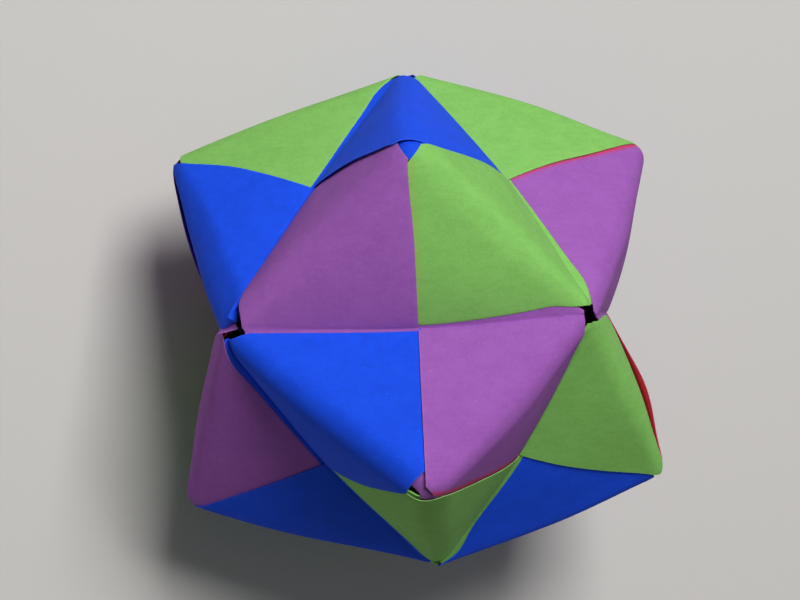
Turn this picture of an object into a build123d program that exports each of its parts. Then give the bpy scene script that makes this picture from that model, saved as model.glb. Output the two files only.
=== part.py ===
from build123d import *

import os
from math import pi, sqrt

# A ball of twelve folded paper units, a stellated octahedron of eight three-sided pyramids.
# Every unit is one square of paper, folded into a strip with a pocket and a tab at each half.
# The ball has four mauve, four blue and four green units. Each unit lies in one of the twelve
# valleys between the pyramids, and bends softly over two ridges, where its tabs slide into
# the pockets of its neighbours. All sizes are in millimetres.

# The paper, and the air between two layers of it
sheet_side = 105.0
paper = 0.10
slip = 0.02

# How softly the outer layer bends over a ridge, as the outer radius of the bend
ridge_bend = 4.0

# How far every tab is short of being pushed fully home, measured along a ridge
tab_slack = 0.9

# Open widths: from the step of a flap to the folded leaves and tabs beside it, between two
# cut edges that meet, and between the flap's bend and the edge of the tab that it covers
leaf_margin = 0.12
edge_gap = 0.10
bend_clearance = 0.12

# Layers of one face from the outside in. A guest is the tab of the neighbour in the pocket.
face_stack = (
    "flap",
    "guest flap",
    "guest tuck",
    "guest outer leaf",
    "guest inner leaf",
    "guest back",
    "outer leaf",
    "inner leaf",
    "flap root",
    "back",
)
# Layers of a face of the neighbour, where the unit's own tab is the guest
tab_stack = ("host flap", "flap", "tuck", "outer leaf", "inner leaf", "back")
# Layers that bend over the ridge under the flap, each in one flat facet
hidden_stack = ("outer leaf", "inner leaf", "back")

pitch = paper + slip
face_depth = {name: place * pitch for place, name in enumerate(face_stack)}
tab_depth = {name: place * pitch for place, name in enumerate(tab_stack)}

# A ridge of the folded strip, and the longer ridge of the sharp solid round a soft bend
paper_ridge = sheet_side / (2 * sqrt(2))
sharp_ridge = paper_ridge + (2 - pi / 2) * ridge_bend + tab_slack
# An apex of the sharp solid is as far out along each axis as two thirds of a ridge
apex_reach = sharp_ridge * 2 / 3
# From the middle of a valley to the edge of the tab beside it
tab_margin = leaf_margin + tab_slack * 2 / 3
# Beyond every edge, for solids that are trimmed afterwards
beyond = 1.2 * sharp_ridge

# The three ridges of the apex (1, 1, 1). The unit spans the valley from the +X corner to the
# +Y corner, and its upper half has one face between the ridges to these two corners. Its tab
# bends over the first of them, onto the face between the +X and the +Z corner.
to_x_corner = Vector(1, -2, -2) / 3
to_y_corner = Vector(-2, 1, -2) / 3
to_z_corner = Vector(-2, -2, 1) / 3
apex = Vector(1, 1, 1) * apex_reach

# Work frame at the apex: X towards the +Y corner, Y along the bent ridge, Z towards the +Z
# corner. Depth in the unit's own face is along Z, and depth in the neighbour's is along X.
apex_frame = Plane(origin=apex, x_dir=to_y_corner, z_dir=to_z_corner)
toward_ridge_from_face = Plane(origin=(0, 0, 0), z_dir=(-1, 1, 0))
toward_ridge_from_tab = Plane(origin=(0, 0, 0), z_dir=(0, 1, -1))

# A facet is a line at 45 degrees in the section across the ridge, and is placed by the sum of
# its two depths. The first one clears the inside of the flap's bend where it meets the tab.
flap_room = ridge_bend - pitch
leaf_from_centre = ridge_bend - (tab_depth["outer leaf"] - tab_depth["flap"])
facet_meets_tab = ridge_bend - sqrt(flap_room**2 - leaf_from_centre**2)
first_facet = facet_meets_tab + tab_depth["outer leaf"]
facet_step = pitch * sqrt(2)
facet_sum = {
    name: first_facet + place * facet_step for place, name in enumerate(hidden_stack)
}

# The far edge of the tab, along the ridge that the neighbour's flap bends over
tab_fold = ridge_bend + bend_clearance
# Folded lips lie under the neighbour's facets, with the leaf next to the neighbour's back
lip_layers = ("outer leaf", "inner leaf", "flap root", "back")
first_lip = facet_sum["back"] + facet_step
lip_sum = {name: first_lip + place * facet_step for place, name in enumerate(lip_layers)}
lip_start = tab_fold


def keep_above(solid, plane, distance=0.0):
    """The part of the solid that lies more than a distance above the plane."""
    return split(solid, bisect_by=plane.offset(distance), keep=Keep.TOP)


def keep_below(solid, plane, distance=0.0):
    """The part of the solid that lies less than a distance above the plane."""
    return split(solid, bisect_by=plane.offset(distance), keep=Keep.BOTTOM)


def extrude_section(outline, plane, length):
    """A solid of the closed outline, drawn in the plane and drawn out along its normal."""
    return extrude(plane * make_face(outline), amount=length)


def across_bent_ridge(place):
    """The plane across the bent ridge, with depth in the face first and in the tab second."""
    return Plane(origin=(0, place, 0), x_dir=(0, 0, 1), z_dir=(0, 1, 0))


def across_far_ridge(place):
    """The plane across the neighbour's ridge, with the way into the face first."""
    return Plane(origin=(place, 0, 0), x_dir=(0, 1, 0), z_dir=(1, 0, 0))


def bent_flap(start, end):
    """The flap over the ridge, with a round bend, between two places along the ridge."""
    face, tab = face_depth["flap"], tab_depth["flap"]
    centre = (face + ridge_bend, tab + ridge_bend)
    inner_face, inner_tab = face + paper, tab + paper
    outline = [
        Line((face, beyond), (face, centre[1])),
        CenterArc(centre, ridge_bend, 180, 90),
        Line((centre[0], tab), (beyond, tab)),
        Line((beyond, tab), (beyond, inner_tab)),
        Line((beyond, inner_tab), (centre[0], inner_tab)),
        CenterArc(centre, ridge_bend - paper, 180, 90),
        Line((inner_face, centre[1]), (inner_face, beyond)),
        Line((inner_face, beyond), (face, beyond)),
    ]
    return extrude_section(outline, across_bent_ridge(start), end - start)


def facet_course(layer, share, face_end):
    """Points across the ridge along one surface of a hidden layer, from face to tab.

    A share of 0 is the outer side of the paper and 1 is its inner side.
    """
    into = share * paper
    face, tab = face_depth[layer] + into, tab_depth[layer] + into
    total = facet_sum[layer] + into * sqrt(2)
    return [(face, face_end), (face, total - face), (total - tab, tab), (beyond, tab)]


def bent_facets(outer, inner, start, end, face_end):
    """Paper that bends over the ridge in a facet, between two courses given as layer, share."""
    there = facet_course(*outer, face_end)
    back = facet_course(*inner, face_end)
    outline = Polyline(*there, *reversed(back), close=True)
    return extrude_section(outline, across_bent_ridge(start), end - start)


def lip_course(layer, share):
    """Points along one surface of a layer, from inside the face to the end of its lip."""
    into = share * paper
    face = face_depth[layer] + into
    total = lip_sum[layer] + into * sqrt(2)
    return [(beyond, face), (total - face, face), (0, total)]


def lipped_layer(outer, inner):
    """Paper of the face with its far edge turned in, between two courses."""
    outline = Polyline(*lip_course(*outer), *reversed(lip_course(*inner)), close=True)
    return extrude_section(outline, across_far_ridge(lip_start), beyond)


def lip_fold(outer, inner, distance):
    """The folded edge that joins two lips, at a distance from the middle of the ridge."""
    lips = lipped_layer((outer, 0.5), (inner, 0.5))
    lips = keep_above(lips, toward_ridge_from_tab, distance)
    return keep_below(lips, toward_ridge_from_tab, distance + paper)


def block(x_range, y_range, z_range):
    """A box in the work frame between three pairs of limits."""
    corner = (x_range[0], y_range[0], z_range[0])
    size = [high - low for low, high in (x_range, y_range, z_range)]
    return Pos(*corner) * Box(*size, align=(Align.MIN, Align.MIN, Align.MIN))


def in_face(depths, start_y):
    """A flat piece of the unit's own face, between two depths, clear of both ridges."""
    return block((lip_start, beyond), (start_y, beyond), depths)


def in_tab(depths, end_y=beyond):
    """A flat piece of the tab, between two depths in the neighbour's face."""
    return block(depths, (tab_fold, end_y), (tab_fold, beyond))


def paper_at(depth):
    """The two depths of a paper whose outer side lies at the given depth."""
    return depth, depth + paper


def fold_between(depths, outer, inner):
    """The two depths between the middles of two layers."""
    return depths[outer] + paper / 2, depths[inner] + paper / 2


def trim(solid, valley, tab):
    """Moves a piece into the ball's frame and ends it at the valley and at the tab's edge."""
    placed = apex_frame.location * solid
    return keep_above(keep_above(placed, Plane.XY, valley), Plane.ZX, tab)


def make_flap():
    """The outer layer: a quarter of the face, the bend over the ridge and the whole tab."""
    tip = keep_above(bent_flap(0, tab_fold), toward_ridge_from_tab, edge_gap / 2)
    whole = bent_flap(tab_fold, beyond) + tip
    return [trim(keep_above(whole, toward_ridge_from_face, edge_gap / 2), -paper / 2, tab_margin)]


def make_layer(layer, tab_edge):
    """A hidden layer of the face with its lip, and its facet and tab where it has them."""
    far_end = edge_gap if layer in ("outer leaf", "back") else edge_gap + pitch
    lipped = lipped_layer((layer, 0), (layer, 1))
    lipped = keep_above(lipped, toward_ridge_from_tab, far_end)
    if layer == "flap root":
        lipped = keep_below(lipped, toward_ridge_from_face, -edge_gap / 2)
        return [trim(lipped, leaf_margin, tab_edge)]
    start = tab_fold if layer in ("outer leaf", "back") else tab_fold + pitch
    bent = bent_facets((layer, 0), (layer, 1), start, beyond, lip_start)
    if layer == "inner leaf":
        bent = keep_above(bent, toward_ridge_from_tab, edge_gap / 2)
    bent_end = 0 if layer == "back" else leaf_margin
    return [trim(lipped, leaf_margin, tab_edge), trim(bent, bent_end, tab_edge)]


def make_valley_strip(layer, end, tab_edge):
    """The flat strip that carries a layer on from its leaf margin into the valley."""
    depth = face_depth[layer]
    strip = in_face(paper_at(depth), lip_sum[layer] - depth)
    if layer == "flap root":
        strip = keep_below(strip, toward_ridge_from_face, -edge_gap / 2)
    return keep_below(trim(strip, end, tab_edge), Plane.XY, leaf_margin)


def make_tuck(tab_edge):
    """The small corner that was folded in first, under the flap of the tab."""
    tuck = in_tab(paper_at(tab_depth["tuck"]))
    tuck = keep_below(tuck, toward_ridge_from_tab, -edge_gap / 2)
    return trim(tuck, leaf_margin, tab_edge)


def make_folds(tab_edge):
    """The folded edges that join the layers of the upper half, each as a solid of its own."""
    bend_end = bent_facets(
        ("outer leaf", 0.5), ("back", 0.5), tab_fold, tab_fold + paper, lip_start - slip
    )
    lip_end = lip_fold("outer leaf", "back", edge_gap)

    root_lip = lip_fold("inner leaf", "flap root", edge_gap + pitch)
    root_lip = keep_below(root_lip, toward_ridge_from_face, -edge_gap / 2)

    flap_to_tuck = in_tab(fold_between(tab_depth, "flap", "tuck"), tab_fold + paper)
    flap_to_tuck = keep_below(flap_to_tuck, toward_ridge_from_tab, -edge_gap / 2)

    flap_to_back = trim(
        in_tab(fold_between(tab_depth, "flap", "back")), leaf_margin, tab_margin
    )
    leaves = in_face(fold_between(face_depth, "outer leaf", "inner leaf"), lip_start)

    # The flap dives through the valley here, to lie beneath the leaves of the lower half
    step = in_face(fold_between(face_depth, "flap", "flap root"), lip_start)
    step = keep_above(step, toward_ridge_from_face, edge_gap / 2)

    return [
        trim(bend_end, leaf_margin, tab_edge),
        trim(lip_end, leaf_margin, tab_edge),
        trim(root_lip, leaf_margin, tab_edge),
        trim(flap_to_tuck, leaf_margin, tab_edge),
        keep_below(flap_to_back, Plane.ZX, tab_margin + paper),
        keep_below(trim(leaves, leaf_margin, tab_edge), Plane.XY, leaf_margin + paper),
        keep_below(trim(step, -paper / 2, tab_margin), Plane.XY, paper / 2),
    ]


def make_unit():
    """The unit of the valley between the +X and +Y corners: one sheet, so one solid.

    The lower half is the upper half turned half round about the valley's outward axis.
    """
    inside_fold = tab_margin + pitch
    upper = make_flap()
    upper += make_layer("outer leaf", inside_fold)
    upper += make_layer("inner leaf", inside_fold)
    upper += make_layer("flap root", inside_fold)
    upper += make_layer("back", tab_margin)
    upper += [
        make_valley_strip("flap root", -paper / 2, inside_fold),
        make_valley_strip("back", 0, tab_margin),
        make_tuck(inside_fold),
    ]
    upper += make_folds(inside_fold)

    outward = Axis((0, 0, 0), (1, 1, 0))
    pieces = upper + [piece.rotate(outward, 180) for piece in upper]
    return pieces[0].fuse(*pieces[1:]).clean()


# Each colour has the four valleys of one plane. A valley runs from its first corner, on the
# left with the tab's apex up, to its second, and these are the axes that the two lie on.
axes_of_colour = {
    "mauve": (Vector(1, 0, 0), Vector(0, 1, 0)),
    "blue": (Vector(0, 0, 1), Vector(1, 0, 0)),
    "green": (Vector(0, 1, 0), Vector(0, 0, 1)),
}
# Where each unit lies once the ball rests, by the signs of its two corners
unit_names = {
    "mauve": {
        (1, 1): "mauve_top",
        (-1, 1): "mauve_right",
        (-1, -1): "mauve_bottom",
        (1, -1): "mauve_left",
    },
    "blue": {
        (1, 1): "blue_far_left",
        (1, -1): "blue_far_right",
        (-1, 1): "blue_near_left",
        (-1, -1): "blue_near_right",
    },
    "green": {
        (1, 1): "green_far_high",
        (-1, 1): "green_far_low",
        (1, -1): "green_near_high",
        (-1, -1): "green_near_low",
    },
}


def place_units(unit):
    """The twelve units by name, in the ball's own frame about its centre."""
    placed = {}
    for colour, (first_axis, second_axis) in axes_of_colour.items():
        for (first_sign, second_sign), name in unit_names[colour].items():
            first = first_axis * first_sign
            second = second_axis * second_sign
            valley = Plane(origin=(0, 0, 0), x_dir=first, z_dir=first.cross(second))
            placed[name] = valley.location * unit
    return placed


def lay_down(units):
    """Turns the ball onto the two apexes and the -Y corner that it rests on."""
    resting = Plane(origin=(0, 0, 0), x_dir=(-2, 0, 1), z_dir=(0, 1, 0))
    turned = {name: resting.location * unit for name, unit in units.items()}
    lowest = min(unit.bounding_box().min.Z for unit in turned.values())
    return {name: Pos(0, 0, -lowest) * unit for name, unit in turned.items()}


os.makedirs("parts", exist_ok=True)
for node, solid in lay_down(place_units(make_unit())).items():
    solid.label = node
    export_step(solid, f"parts/{node}.step")
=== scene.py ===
"""A ball of twelve folded paper units, dressed as soft, matte, coloured-through paper.

Every unit is one square of paper, and is rebuilt here from its folded layers: two outer
sheets with their soft bends and tabs, the leaves of its two pockets, and its back. All
lengths are in millimetres until a mesh is made, and every place comes from the frame.

Three frames are used. On the flat paper of a half, a is the distance from the flap's free
edge and b the distance from the seam of the other face; b is below 0 behind the apex, and the
valley is where b is the side of the unit's middle square. In the ball's frame the three axes
run through the six open corners. The row's frame is the one that the ball lies in.
"""

import logging
import math
from collections.abc import Callable
from dataclasses import dataclass, field
from enum import Enum
from itertools import product

import bpy
import numpy as np
from mathutils import Matrix, Vector


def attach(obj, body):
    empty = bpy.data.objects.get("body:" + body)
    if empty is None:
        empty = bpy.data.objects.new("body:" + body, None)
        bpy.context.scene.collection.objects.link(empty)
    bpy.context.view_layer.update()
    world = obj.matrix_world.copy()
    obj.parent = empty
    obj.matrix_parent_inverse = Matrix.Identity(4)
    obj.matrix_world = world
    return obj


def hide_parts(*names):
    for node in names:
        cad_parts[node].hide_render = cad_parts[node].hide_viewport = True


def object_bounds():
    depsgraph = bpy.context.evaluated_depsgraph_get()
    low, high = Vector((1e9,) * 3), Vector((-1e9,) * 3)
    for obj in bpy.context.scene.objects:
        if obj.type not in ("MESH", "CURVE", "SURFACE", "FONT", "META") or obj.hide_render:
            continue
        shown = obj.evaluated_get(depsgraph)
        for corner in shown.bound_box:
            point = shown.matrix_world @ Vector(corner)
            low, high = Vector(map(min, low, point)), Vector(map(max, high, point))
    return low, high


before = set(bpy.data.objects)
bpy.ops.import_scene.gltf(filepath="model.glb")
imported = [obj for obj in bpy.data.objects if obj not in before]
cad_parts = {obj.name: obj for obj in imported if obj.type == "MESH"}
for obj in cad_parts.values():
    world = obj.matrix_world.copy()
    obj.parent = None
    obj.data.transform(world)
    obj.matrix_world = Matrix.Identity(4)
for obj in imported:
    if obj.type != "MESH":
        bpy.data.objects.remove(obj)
CAD_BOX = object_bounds()

MM = 0.001
PHOTO_WIDTH = 800
ROOT_TWO = math.sqrt(2)
RIGHT_ANGLE = math.pi / 2
TINY = 1e-6
Triple = tuple[float, float, float]
log = logging.getLogger("paper_ball")


class Colour(Enum):
    """The three papers, by the record's material slot."""

    MAUVE = "mauve_paper"
    BLUE = "blue_paper"
    GREEN = "green_paper"


class Half(Enum):
    """The two halves of a unit. The first bends over the ridge to the valley's first corner."""

    FIRST = 0
    SECOND = 1


@dataclass(frozen=True)
class Paper:
    """The sheets and how they lie on each other, in millimetres.

    The depths are those of each layer under the outer face: the flap and the tab, then the
    layers of the pocket, first where they lie under the tab and then under their own face.
    The leaf's fold depth is that of the flap where it runs on over the valley.
    """

    sheet_side: float = 105.0
    thickness: float = 0.10
    ridge_bend: float = 4.0
    tab_slack: float = 0.9
    flap_depth: float = 0.0
    tab_depth: float = 0.17
    tab_leaf_depth: float = 0.30
    tab_back_depth: float = 0.56
    leaf_depth: float = 0.74
    leaf_fold_depth: float = 0.26
    back_depth: float = 0.98
    hem_radius: float = 0.16

    @property
    def ridge(self) -> float:
        """The length of a ridge on the folded strip."""
        return self.sheet_side / (2 * ROOT_TWO)

    @property
    def middle(self) -> float:
        """The side of the unit's middle square, halved by the valley."""
        return self.ridge / ROOT_TWO

    @property
    def spare(self) -> float:
        """How much further out the sharp ridge is than the way round half of an even bend."""
        return (1 - math.pi / 4) * self.ridge_bend

    @property
    def sharp_ridge(self) -> float:
        """The length of a ridge of the sharp solid round the soft bends."""
        return self.ridge + 2 * self.spare + self.tab_slack

    @property
    def apex_reach(self) -> float:
        """How far out an apex of the sharp solid is along each axis."""
        return self.sharp_ridge * 2 / 3


@dataclass(frozen=True)
class Bend:
    """How one half of a unit is bent and set. Lengths are in millimetres.

    The three radii are those of the bend at the apex, in the middle of the ridge and at the
    open corner. Streaks is the share of the turn that is made at faint creases, creases are
    their places across the bend, from -1 to 1 and by chance where none is given, and crease
    width is how soft each one is. Bulge is how far the face swells out. Flap lift is how far
    the flap's free edge stands off, and a larger lift shape keeps it to the edge's middle.

    The strips are the widths of leaf left bare beside the tab's folded edge, at the middle of
    the valley and near its end. The apex gap is how far the sheet ends short of the apex. The
    corner gap is how far it ends short of the open corner, from the corner start's share of
    the valley on, and the inner gap is how far the inner layers do. Tip curl is the share by
    which the face follows the crossing ridge, leaf reach how far the leaf is pushed out
    towards the apex, and edge back how far the flap's edge is drawn back near it. The slit
    place is where the painted bounce light beside the seam is strongest. The crease is how deep
    the fold over the valley lies, and the valley end is how far past the open corner the paper
    over the valley narrows to nothing.
    """

    radius_apex: float = 3.8
    radius_middle: float = 4.0
    radius_corner: float = 3.4
    streaks: float = 0.3
    creases: tuple[float, ...] = ()
    crease_width: float = 0.035
    bulge: float = 0.5
    flap_lift: float = 0.10
    lift_shape: float = 0.7
    strip_middle: float = 0.35
    strip_corner: float = 0.55
    apex_gap: float = 0.5
    corner_gap: float = 1.3
    corner_start: float = 0.8
    inner_gap: float = 2.2
    tip_curl: float = 0.8
    leaf_reach: float = 0.0
    edge_back: float = 0.0
    slit_place: float = -0.35
    crease: float = 0.1
    valley_end: float = 0.4


def smooth(values: np.ndarray) -> np.ndarray:
    """An even rise from 0 to 1 as the values go from 0 to 1."""
    clipped = np.clip(values, 0.0, 1.0)
    return clipped * clipped * (3 - 2 * clipped)


def hump(values: np.ndarray) -> np.ndarray:
    """A soft hump that is 1 at 0 and fades out on both sides."""
    return np.exp(-(values**2))


class BendProfile:
    """The section of a soft bend of 90 degrees, worked out once for a half width of 1."""

    SAMPLES = 401
    CREASE_COUNT = 4
    CREASE_REACH = 0.75
    ROUNDNESS = 0.55
    STEEPEST = 1.1

    def __init__(self, bend: Bend, seed: int) -> None:
        """Turns the paper a little faster at a few faint creases.

        Args:
            bend: the share of the turn that is made at the creases, and where they lie.
            seed: chooses where the creases lie if the bend doesn't say.
        """
        dice = np.random.default_rng(seed)
        reach = self.CREASE_REACH
        creases = bend.creases or np.sort(dice.uniform(-reach, reach, self.CREASE_COUNT))
        self.across = np.linspace(-1.0, 1.0, self.SAMPLES)
        rounded = self.ROUNDNESS * np.sin(self.across * RIGHT_ANGLE)
        even = 0.5 + 0.5 * (rounded + (1 - self.ROUNDNESS) * self.across)
        steps = [1 / (1 + np.exp((place - self.across) / bend.crease_width)) for place in creases]
        turn = (1 - bend.streaks) * even + bend.streaks * np.mean(steps, axis=0)
        turn = (turn - turn[0]) / (turn[-1] - turn[0])
        self.angle = turn * RIGHT_ANGLE
        step = self.across[1] - self.across[0]
        self.inward = self._running_sum(np.cos(self.angle)) * step
        self.along = self._running_sum(np.sin(self.angle)) * step
        self.reach_first = self.inward[-1]
        self.reach_second = self.along[-1]

    @staticmethod
    def _running_sum(values: np.ndarray) -> np.ndarray:
        """The trapezoid sum of the values up to each one, for a step of 1."""
        return np.concatenate([[0.0], np.cumsum((values[1:] + values[:-1]) / 2)])

    def section(self, share: np.ndarray, width: np.ndarray) -> tuple[np.ndarray, ...]:
        """Where the paper lies across the ridge.

        Args:
            share: the place on the paper across the ridge, as a share of the width, negative
                on the flap's side.
            width: half the width of the bend, for each place.

        Returns:
            The distance from the tab's face, the distance from the flap's face, and the
            angle that the paper has turned through.
        """
        angle = np.interp(share, self.across, self.angle)
        from_tab_face = width * (self.reach_first - np.interp(share, self.across, self.inward))
        from_flap_face = width * np.interp(share, self.across, self.along)
        from_tab_face += np.maximum(-1 - share, 0) * width
        from_flap_face += np.maximum(share - 1, 0) * width
        return from_tab_face, from_flap_face, angle

    def follow(self, distance: np.ndarray, width: np.ndarray, on_flap: bool) -> tuple[np.ndarray, ...]:
        """Lays a neighbour's paper against the bend, where it comes to the ridge.

        Args:
            distance: how far the paper is from the ridge, measured on the flat face.
            width: half the width of the bend, for each place.
            on_flap: whether that face is the flap's and not the tab's.

        Returns:
            The distance from the ridge once the paper is bent, how far it drops below the
            face, and the angle that it leans by.
        """
        reach = self.reach_first if on_flap else self.reach_second
        over = np.clip(width * reach - distance, 0, None)
        if on_flap:
            last = np.interp(self.STEEPEST, self.angle, self.across)
            share = np.minimum(over / width - 1, last)
            bent, drop, lean = self.section(share, width)
        else:
            last = np.interp(RIGHT_ANGLE - self.STEEPEST, self.angle, self.across)
            share = np.maximum(1 - over / width, last)
            drop, bent, angle = self.section(share, width)
            lean = RIGHT_ANGLE - angle
        return np.where(over > 0, bent, distance), drop, lean


@dataclass
class Sheet:
    """A grid of points on one layer of paper, and what its faces need to know.

    Edge is how pale the paper is at cut and folded edges, partly wear and partly a painted
    highlight, slit how far painted bounce light in a narrow slit tints it, and lining the same
    on its inner side, where it also has a faint painted glow.
    """

    points: np.ndarray
    inward: np.ndarray
    thickness: float
    edge: np.ndarray
    slit: np.ndarray
    lining: np.ndarray


class FoldedHalf:
    """One half of a unit: its own face, the bend over the ridge and the tab beyond it.

    The guest is the half whose tab lies in this half's pocket, and the host is the half whose
    pocket holds this half's tab. The local axes start at the apex: x runs to the valley's
    other corner, y along the half's own ridge, and z into the face that the tab lies in.
    """

    SPARE_FADE = 6.0
    CROSSING_GAP = 0.02
    WAVE_SEED = 500
    WAVES = 4
    WAVE_HEIGHT = 0.045
    WAVE_COUNTS = (1.2, 3.2)
    LOCAL_Y = np.array([0.0, 1.0, 0.0])

    def __init__(self, paper: Paper, colour: Colour, bend: Bend, axes: np.ndarray, seed: int) -> None:
        """Places the half in the ball.

        Args:
            paper: the sizes of the sheets.
            colour: its unit's paper.
            bend: how this half is bent.
            axes: three rows, the outward axes to the bent ridge's corner, to the valley's
                other corner and to the third corner of the pyramid.
            seed: the half's own number, for what differs by chance.
        """
        self.paper = paper
        self.colour = colour
        self.bend = bend
        self.axes = axes
        self.seed = seed
        self.profile = BendProfile(bend, seed)
        self.guest: FoldedHalf | None = None
        self.host: FoldedHalf | None = None
        self.apex = axes.sum(axis=0) * paper.apex_reach
        to_corner, to_other, to_third = ((3 * axis - 2 * axes.sum(axis=0)) / 3 for axis in axes)
        self.basis = np.array([to_other, to_corner, to_third])

    def radius(self, along: np.ndarray) -> np.ndarray:
        """How soft the bend is.

        Args:
            along: the distance from the apex along the ridge.

        Returns:
            The bend's radius there.
        """
        share = np.clip(along / self.paper.ridge, 0.0, 1.0)
        middle = self.bend.radius_middle
        start = self.bend.radius_apex + (middle - self.bend.radius_apex) * smooth(share * 2)
        return start + (self.bend.radius_corner - middle) * smooth(share * 2 - 1)

    def bend_width(self, along: np.ndarray) -> np.ndarray:
        """Half the width of the bend on the flat paper, at a distance from the apex."""
        return self.radius(along) * math.pi / 4

    def swell(self, across: np.ndarray, along: np.ndarray) -> np.ndarray:
        """How far the half's own face bulges out, evenly and in a few faint waves.

        Args:
            across: the distance from the half's own ridge.
            along: the distance from the guest's ridge.

        Returns:
            The height of the bulge.
        """
        side = self.paper.sharp_ridge
        x, y = np.clip(across / side, 0, 1), np.clip(along / side, 0, 1)
        # The product is a 27th in the middle of the face, where the bubble is 1
        bubble = 27 * x * y * np.clip(1 - x - y, 0, 1)
        dice = np.random.default_rng(self.seed + self.WAVE_SEED)
        waves = np.zeros_like(x)
        for _ in range(self.WAVES):
            angle, phase = dice.uniform(0, math.tau, 2)
            count = dice.uniform(*self.WAVE_COUNTS)
            waves += np.sin(math.tau * count * (x * math.cos(angle) + y * math.sin(angle)) + phase)
        return self.bend.bulge * bubble + self.WAVE_HEIGHT * waves * np.sqrt(bubble)

    def _over_ridge(self, a: np.ndarray, b: np.ndarray) -> tuple[np.ndarray, ...]:
        """Bends places of the flat paper over the half's own ridge.

        Args:
            a: the distance from the flap's free edge.
            b: the distance from the seam of the other face.

        Returns:
            Their local x, y and z, and the angle that the paper has turned through.
        """
        paper, profile = self.paper, self.profile
        along = (a + b) / ROOT_TWO
        slack = paper.tab_slack / 2
        past = (a - b) / ROOT_TWO - slack
        width = self.bend_width(along)
        x, z, angle = profile.section(past / width, width)
        x += (paper.spare - (profile.reach_first - 1) * width) * smooth((-past - width) / self.SPARE_FADE)
        z += (paper.spare - (profile.reach_second - 1) * width) * smooth((past - width) / self.SPARE_FADE)
        return x, along + paper.spare + slack, z, angle

    def lay(
        self,
        a: np.ndarray,
        b: np.ndarray,
        face_depth: np.ndarray | float,
        tab_depth: np.ndarray | float,
        curl: float = 1.0,
    ) -> tuple[np.ndarray, np.ndarray]:
        """Places points of a layer.

        Args:
            a: the distance from the flap's free edge, negative beyond it on the face.
            b: the distance from the seam of the other face, up to the valley.
            face_depth: how deep the layer lies under the half's own face.
            tab_depth: how deep it lies under the face of the host.
            curl: the share by which it follows the guest's ridge where that crosses the face.

        Returns:
            The points and the inward directions, both in the ball's frame.
        """
        paper = self.paper
        x, y, z, angle = self._over_ridge(a, b)
        turned = angle / RIGHT_ANGLE
        start = paper.spare + paper.tab_slack / 2
        at_guest = self.guest.profile.follow(y, self.guest.bend_width(x - start), False)
        at_host = self.host.profile.follow(y, self.host.bend_width(z - start), True)
        bent, drop, lean = (one * (1 - turned) + two * turned for one, two in zip(at_guest, at_host))

        host_distance, _, host_lean = at_host
        over_host = host_lean / RIGHT_ANGLE
        under = tab_depth + (paper.tab_depth + self.CROSSING_GAP) * over_host
        under = under - self.host.swell(host_distance, z) * (1 - over_host)
        depth = (face_depth - self.swell(x, y)) * (1 - turned) + under * turned

        flat_in = np.stack([np.sin(angle), np.zeros_like(x), np.cos(angle)], axis=-1)
        curl = curl + (1 - curl) * turned
        lean = (curl * lean)[..., None]
        inward = flat_in * np.cos(lean) + self.LOCAL_Y * np.sin(lean)
        local = np.stack([x, y + curl * (bent - y), z], axis=-1)
        local = local + flat_in * (curl * drop)[..., None] + inward * depth[..., None]
        return self.apex + local @ self.basis, inward @ self.basis


def tint(colour: Colour, neighbour: Colour) -> float:
    """How strongly painted bounce light from a neighbour tints a paper of the colour in a narrow slit."""
    pairs = {(Colour.MAUVE, Colour.GREEN): 0.9, (Colour.GREEN, Colour.MAUVE): 0.25}
    return pairs.get((colour, neighbour), 0.0)


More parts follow.
